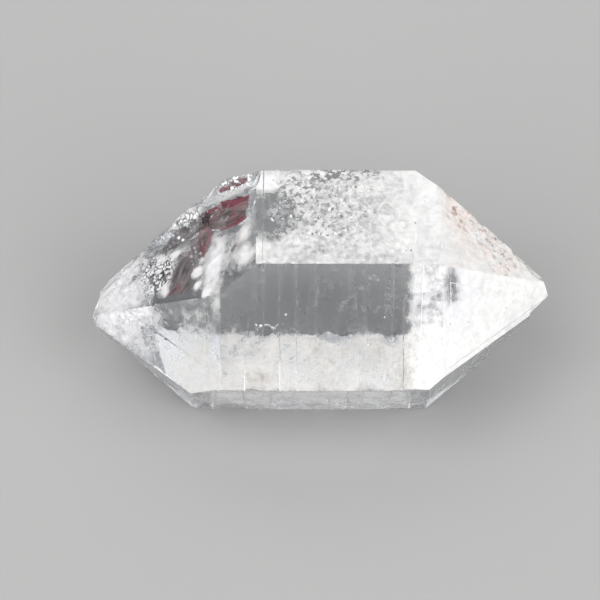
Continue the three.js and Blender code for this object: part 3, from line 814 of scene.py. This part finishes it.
def frost_tint(kit, finish):
    """The frost's colour: white, lilac, peach or cream, darker in its grain and cracks."""
    marks = kit.marks
    tint = kit.mix(marks["lilac"], rgba(finish.frost_colour), rgba(finish.lilac_colour))
    peach = kit.ramp(kit.noise(0.9, 3.0, 0.6), -0.12, 0.12)
    peach = kit.maths("MULTIPLY", marks["peach"], peach)
    tint = kit.mix(peach, tint, rgba(finish.peach_colour))
    cream = kit.ramp(kit.noise(0.6, 3.0), -0.14, 0.14, 0.72, 1.0)
    cream = kit.maths("MULTIPLY", marks["cream"], cream)
    tint = kit.mix(cream, tint, rgba(finish.cream_colour))
    grain = kit.ramp(kit.noise(2.3, 5.0, 0.7), -0.12, 0.10, 1.0, 0.0)
    grain_depth = kit.maths("ADD", kit.maths("MULTIPLY", marks["crackle"], 0.12), 0.13)
    crack = kit.ramp(kit.maths("ABSOLUTE", kit.noise(2.1, 3.0, 0.6, 0.8)), 0.07, 0.01)
    crack = kit.maths("MULTIPLY", crack, kit.maths("MULTIPLY", marks["crackle"], 0.3))
    shade = kit.maths("ADD", kit.maths("MULTIPLY", grain, grain_depth), crack)
    return kit.mix(kit.maths("SUBTRACT", 1.0, shade), (0.0, 0.0, 0.0, 1.0), tint)


def stain_cover(kit):
    """How far iron stain covers the face, in blots and round dots."""
    blots = kit.ramp(kit.noise(2.2, 3.0, 0.6), 0.02, 0.16)
    blots = kit.maths("MULTIPLY", blots, kit.marks["stain"])
    dots = kit.add("ShaderNodeTexVoronoi", {"Vector": kit.place, "Scale": 1.3})
    dots = kit.ramp(dots.outputs["Distance"], 0.30, 0.12)
    dots = kit.maths("MULTIPLY", dots, kit.marks["stain"])
    stained = kit.maths("MINIMUM", kit.maths("ADD", blots, dots), 1.3)
    return kit.maths("MULTIPLY", stained, 0.7)


def quartz_material(finish):
    """Clear quartz whose frost, specks, painted highlight spots and stain follow the marks on
    each face.
    """
    material = bpy.data.materials.new("quartz")
    material.use_nodes = True
    tree = material.node_tree
    tree.nodes.clear()
    kit = QuartzKit(tree)
    cover = painted_highlight_beads(kit, bare_specks(kit, frost_cover(kit)))
    colour = kit.mix(cover, rgba(finish.clear_colour), frost_tint(kit, finish))
    colour = kit.mix(stain_cover(kit), colour, rgba(finish.stain_colour))
    frosted_clearness = kit.ramp(kit.marks["peach"], 0.0, 1.0, 0.20, 0.16)
    transmission = kit.ramp(cover, 0.0, 1.0, 1.0, frosted_clearness)
    haze = kit.maths("MULTIPLY", kit.marks["haze"], kit.maths("ADD", kit.noise(1.3), 1.0))
    roughness = kit.maths("ADD", kit.ramp(cover, 0.0, 0.8, 0.015, 0.6), haze)
    height = kit.maths("MULTIPLY", kit.noise(9.0, 4.0), cover)
    bump = kit.add("ShaderNodeBump", {"Height": height, "Strength": 0.5, "Distance": 0.03 * MM})

    surface = kit.add("ShaderNodeBsdfPrincipled", {
        "Base Color": colour, "Roughness": roughness, "Transmission Weight": transmission,
        "IOR": finish.refraction, "Normal": bump.outputs[0]})
    inside = kit.add("ShaderNodeVolumeAbsorption", {
        "Color": rgba(finish.absorb_colour), "Density": finish.absorb_density})
    out = kit.add("ShaderNodeOutputMaterial")
    tree.links.new(surface.outputs[0], out.inputs["Surface"])
    tree.links.new(inside.outputs[0], out.inputs["Volume"])
    return material


def hump(kit, value):
    """1 in the middle of a run from 0 to 1, and 0 at both its ends."""
    rest = kit.maths("SUBTRACT", 1.0, value)
    return kit.maths("MULTIPLY", kit.maths("MULTIPLY", value, rest), 4.0)


def sheet_material(name, colour, second_colour, streaks, raggedness):
    """A thin sheet that fades out at its borders, streaked along its path, and darkened as
    painted shade where its red is less than nothing.
    """
    material = bpy.data.materials.new(name)
    material.use_nodes = True
    kit = NodeKit(material.node_tree)
    shader = material.node_tree.nodes["Principled BSDF"]
    along, across, opacity, red = (
        kit.attribute(key) for key in ("along", "across", "opacity", "red"))
    cloud = kit.add("ShaderNodeTexNoise", {
        "Vector": kit.millimetres(), "Scale": 1.8, "Detail": 4.0, "Roughness": 0.65})
    lanes = kit.add("ShaderNodeCombineXYZ", {
        "X": kit.maths("MULTIPLY", along, 3.0),
        "Y": kit.maths("MULTIPLY", across, streaks)}).outputs[0]
    lane = kit.add("ShaderNodeTexNoise", {
        "Vector": lanes, "Scale": 1.0, "Detail": 3.0, "Distortion": 0.4}).outputs[0]

    fade = kit.maths("MULTIPLY", kit.ramp(hump(kit, across), 0.0, 0.9),
                     kit.ramp(hump(kit, along), 0.0, 0.35))
    clouds = kit.maths("SUBTRACT", cloud.outputs[0], 0.5)
    ragged = kit.maths("ADD", clouds, kit.maths("SUBTRACT", lane, 0.5))
    ragged = kit.maths("MULTIPLY", ragged, raggedness)
    body = kit.ramp(kit.maths("ADD", fade, ragged), 0.1, 0.6)
    body = kit.maths("MULTIPLY", body, kit.ramp(fade, 0.0, 0.25))
    kit.feed(shader.inputs["Alpha"], kit.maths("MULTIPLY", opacity, body))

    redness = kit.maths("ADD", red, kit.maths("MULTIPLY", clouds, 1.6))
    tint = kit.mix(kit.ramp(redness, 0.2, 0.7), rgba(colour), rgba(second_colour))
    # A red of less than nothing pulls the sheet towards the dark colour: painted shade.
    painted_shade_darkening = kit.maths("MULTIPLY", kit.maths("MINIMUM", red, 0.0), 0.4)
    shade = kit.ramp(kit.maths("ADD", lane, painted_shade_darkening), 0.35, 0.6)
    dark_share = 0.28
    streak_and_shade_colour = [channel * dark_share for channel in colour]
    kit.feed(shader.inputs["Base Color"], kit.mix(shade, rgba(streak_and_shade_colour), tint))
    shader.inputs["Roughness"].default_value = 0.6
    return material


def plain_material(name, colour, roughness):
    """One even colour, for the blebs of painted highlight, the bubbles and the floor."""
    material = bpy.data.materials.new(name)
    material.use_nodes = True
    shader = material.node_tree.nodes["Principled BSDF"]
    shader.inputs["Base Color"].default_value = rgba(colour)
    shader.inputs["Roughness"].default_value = roughness
    return material


# -------------------------------------------------------------------------- operators


class QUARTZ_OT_crystal(bpy.types.Operator):
    """Makes the finished crystal over the packed solid"""

    bl_idname = "quartz.crystal"
    bl_label = "Crystal"

    def execute(self, context):
        shape, finish = settings()
        mesh = fine_copy(NODE, CRYSTAL_NAME, shape.facet_size)
        if not mesh.polygons:
            raise RuntimeError("the packed crystal has no faces")
        mark_relief(mesh)
        mark_faces(mesh)
        crystal = link(mesh, CRYSTAL_NAME)
        apply_nodes(crystal, growth_relief_tree(), {
            "Swell Height": shape.swell_height,
            "Swell Size": shape.swell_size,
            "Band Height": shape.band_height,
            "Band Size": shape.band_size,
            "Seed": shape.seed,
            "Material": quartz_material(finish),
        })
        crystal.data.shade_smooth()
        crystal.data.set_sharp_from_angle(angle=SHARP_ANGLE)
        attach(crystal, BODY)
        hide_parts(NODE)
        return {"FINISHED"}


class QUARTZ_OT_veils(bpy.types.Operator):
    """Makes the milky healed cracks inside the left point"""

    bl_idname = "quartz.veils"
    bl_label = "Veils"

    def execute(self, context):
        shape, finish = settings()
        material = sheet_material(
            "milky_veil", finish.veil_and_highlight_colour, finish.veil_and_highlight_colour, streaks=3.0, raggedness=0.9)
        finish_inclusion(sweep_sheets("milky_veils", VEILS, material, shape))
        return {"FINISHED"}


class QUARTZ_OT_stains(bpy.types.Operator):
    """Makes the red and brown iron-stained cracks inside the left point, and the dark sheets of
    painted shade among them
    """

    bl_idname = "quartz.stains"
    bl_label = "Stained Cracks and Shade Sheets"

    def execute(self, context):
        shape, finish = settings()
        material = sheet_material(
            "iron_stain_and_painted_shade", finish.brown_colour, finish.crimson_colour, streaks=14.0,
            raggedness=2.2)
        finish_inclusion(sweep_sheets("stained_cracks_and_shade_sheets", STAINS_AND_SHADE_SHEETS, material, shape))
        return {"FINISHED"}


class QUARTZ_OT_blebs(bpy.types.Operator):
    """Makes the small milky blebs under the left top face, white balls that are painted
    highlights
    """

    bl_idname = "quartz.blebs"
    bl_label = "Blebs"

    def execute(self, context):
        _, finish = settings()
        work = bmesh.new()
        for x, y, z, radius in HIGHLIGHT_BLEBS:
            made = bmesh.ops.create_icosphere(work, subdivisions=3, radius=radius * MM)
            bmesh.ops.translate(work, verts=made["verts"], vec=Vector((x, y, z)) * MM)
        mesh = bpy.data.meshes.new("highlight_blebs")
        work.to_mesh(mesh)
        work.free()
        mesh.materials.append(plain_material("highlight_bleb", finish.veil_and_highlight_colour, 0.5))
        finish_inclusion(link(mesh, "highlight_blebs"))
        return {"FINISHED"}


class QUARTZ_OT_bubbles(bpy.types.Operator):
    """Makes the many tiny bubbles under the left top face"""

    bl_idname = "quartz.bubbles"
    bl_label = "Bubbles"

    def execute(self, context):
        shape, finish = settings()
        material = plain_material("milky_bubble", finish.veil_and_highlight_colour, 0.3)
        piece = sweep_sheets("tiny_bubbles", BUBBLE_ZONES, material, shape)
        apply_nodes(piece, bubble_tree(), {
            "Density": shape.bubble_density,
            "Smallest": shape.smallest_bubble,
            "Largest": shape.largest_bubble,
            "Seed": shape.seed,
            "Material": material,
        })
        finish_inclusion(piece)
        return {"FINISHED"}


# Soft bright panels round the stage: azimuth (0 in front, 90 to the right), elevation, the
# angles where it starts to fade and is gone, all in degrees, its strength and its colour.
WHITE = (1.0, 1.0, 1.0)
WARM_WHITE = (1.0, 0.985, 0.96)
SOFT_WHITE = (1.0, 0.99, 0.97)
PANELS = (
    (-50, 40, 16, 44, 2.6, WHITE),
    (-61, 70, 6, 24, 1.6, WHITE),
    (48, 35, 14, 40, 3.2, WHITE),
    (180, 56, 6, 26, 0.62, WARM_WHITE),
    (146, 46, 6, 24, 0.9, WARM_WHITE),
    (-146, 46, 6, 24, 1.1, WARM_WHITE),
    (180, 6, 4, 24, 0.85, SOFT_WHITE),
    (0, 9, 3, 20, 0.55, SOFT_WHITE),
    (-24, 8, 4, 20, 1.1, SOFT_WHITE),
    (24, 8, 4, 20, 0.8, SOFT_WHITE),
)


class QUARTZ_OT_stage(bpy.types.Operator):
    """Makes the plain floor, the soft lights and the camera"""

    bl_idname = "quartz.stage"
    bl_label = "Stage"

    def execute(self, context):
        stage = context.scene.quartz_stage
        self.make_floor(stage)
        self.make_camera(stage)
        self.make_world(stage)
        self.set_light_paths(context.scene)
        return {"FINISHED"}

    def make_floor(self, stage):
        half = 1500 * MM
        top = -stage.floor_gap
        mesh = bpy.data.meshes.new("floor")
        corners = [(-half, -half, top), (half, -half, top), (half, half, top), (-half, half, top)]
        mesh.from_pydata(corners, [], [(0, 1, 2, 3)])
        mesh.materials.append(plain_material("floor", stage.floor_colour, 0.9))
        floor = link(mesh, "floor")

    def make_camera(self, stage):
        aim = Vector((-1.365, 0.0, 5.98)) * MM
        back = Vector((0, -math.cos(stage.elevation), math.sin(stage.elevation)))
        pixels_per_mm = 15.0
        frame_pixels = 600
        lens = bpy.data.cameras.new("camera")
        lens.sensor_width = 36.0
        lens.lens = lens.sensor_width * pixels_per_mm * stage.distance / MM / frame_pixels
        lens.clip_start = 0.01
        camera = bpy.data.objects.new("camera", lens)
        camera.location = aim + back * stage.distance
        camera.rotation_euler = back.to_track_quat("Z", "Y").to_euler()
        bpy.context.scene.collection.objects.link(camera)
        bpy.context.scene.camera = camera

    def make_world(self, stage):
        """An even room with a few soft bright panels in it."""
        world = bpy.data.worlds.new("studio")
        world.use_nodes = True
        kit = NodeKit(world.node_tree)
        direction = kit.add("ShaderNodeTexCoord").outputs["Generated"]
        light = kit.scaled(tuple(stage.room_colour), stage.room_strength)
        for azimuth, elevation, core, reach, strength, colour in PANELS:
            turn, lift = math.radians(azimuth), math.radians(elevation)
            towards = (math.sin(turn) * math.cos(lift), -math.cos(turn) * math.cos(lift),
                       math.sin(lift))
            near = kit.vector("DOT_PRODUCT", direction, towards, output="Value")
            share = kit.ramp(near, math.cos(math.radians(reach)), math.cos(math.radians(core)))
            glow = kit.scaled(colour, kit.maths("MULTIPLY", share, strength))
            light = kit.vector("ADD", light, glow)
        background = world.node_tree.nodes["Background"]
        kit.feed(background.inputs["Color"], light)
        bpy.context.scene.world = world

    def set_light_paths(self, scene):
        """Enough bounces for light to cross the crystal several times."""
        scene.view_settings.view_transform = "Standard"
        scene.cycles.max_bounces = 24
        scene.cycles.transmission_bounces = 20
        scene.cycles.glossy_bounces = 20
        scene.cycles.diffuse_bounces = 4
        scene.cycles.volume_bounces = 0
        scene.cycles.caustics_reflective = False
        scene.cycles.caustics_refractive = True
        scene.cycles.use_denoising = True


class QUARTZ_PT_panel(bpy.types.Panel):
    """Lists the crystal's pieces and their settings"""

    bl_idname = "QUARTZ_PT_panel"
    bl_label = "Quartz Crystal"
    bl_space_type = "VIEW_3D"
    bl_region_type = "UI"
    bl_category = "Quartz"

    def draw(self, context):
        layout = self.layout
        for operator in OPERATORS:
            layout.operator(operator.bl_idname)
        for name, group in GROUPS.items():
            layout.label(text=group.__doc__)
            values = getattr(context.scene, name)
            for key in group.__annotations__:
                layout.prop(values, key)


GROUPS = {
    "quartz_shape": QuartzShape, "quartz_finish": QuartzFinish, "quartz_stage": QuartzStage,
}
OPERATORS = (
    QUARTZ_OT_crystal, QUARTZ_OT_veils, QUARTZ_OT_stains, QUARTZ_OT_blebs, QUARTZ_OT_bubbles,
    QUARTZ_OT_stage,
)
CLASSES = (*GROUPS.values(), *OPERATORS, QUARTZ_PT_panel)


def register():
    for item in CLASSES:
        bpy.utils.register_class(item)
    for name, group in GROUPS.items():
        setattr(bpy.types.Scene, name, PointerProperty(type=group))


def unregister():
    for name in GROUPS:
        delattr(bpy.types.Scene, name)
    for item in reversed(CLASSES):
        bpy.utils.unregister_class(item)


def main():
    register()
    bpy.ops.quartz.crystal()
    bpy.ops.quartz.veils()
    bpy.ops.quartz.stains()
    bpy.ops.quartz.blebs()
    bpy.ops.quartz.bubbles()
    bpy.ops.quartz.stage()


if __name__ == "__main__":
    main()
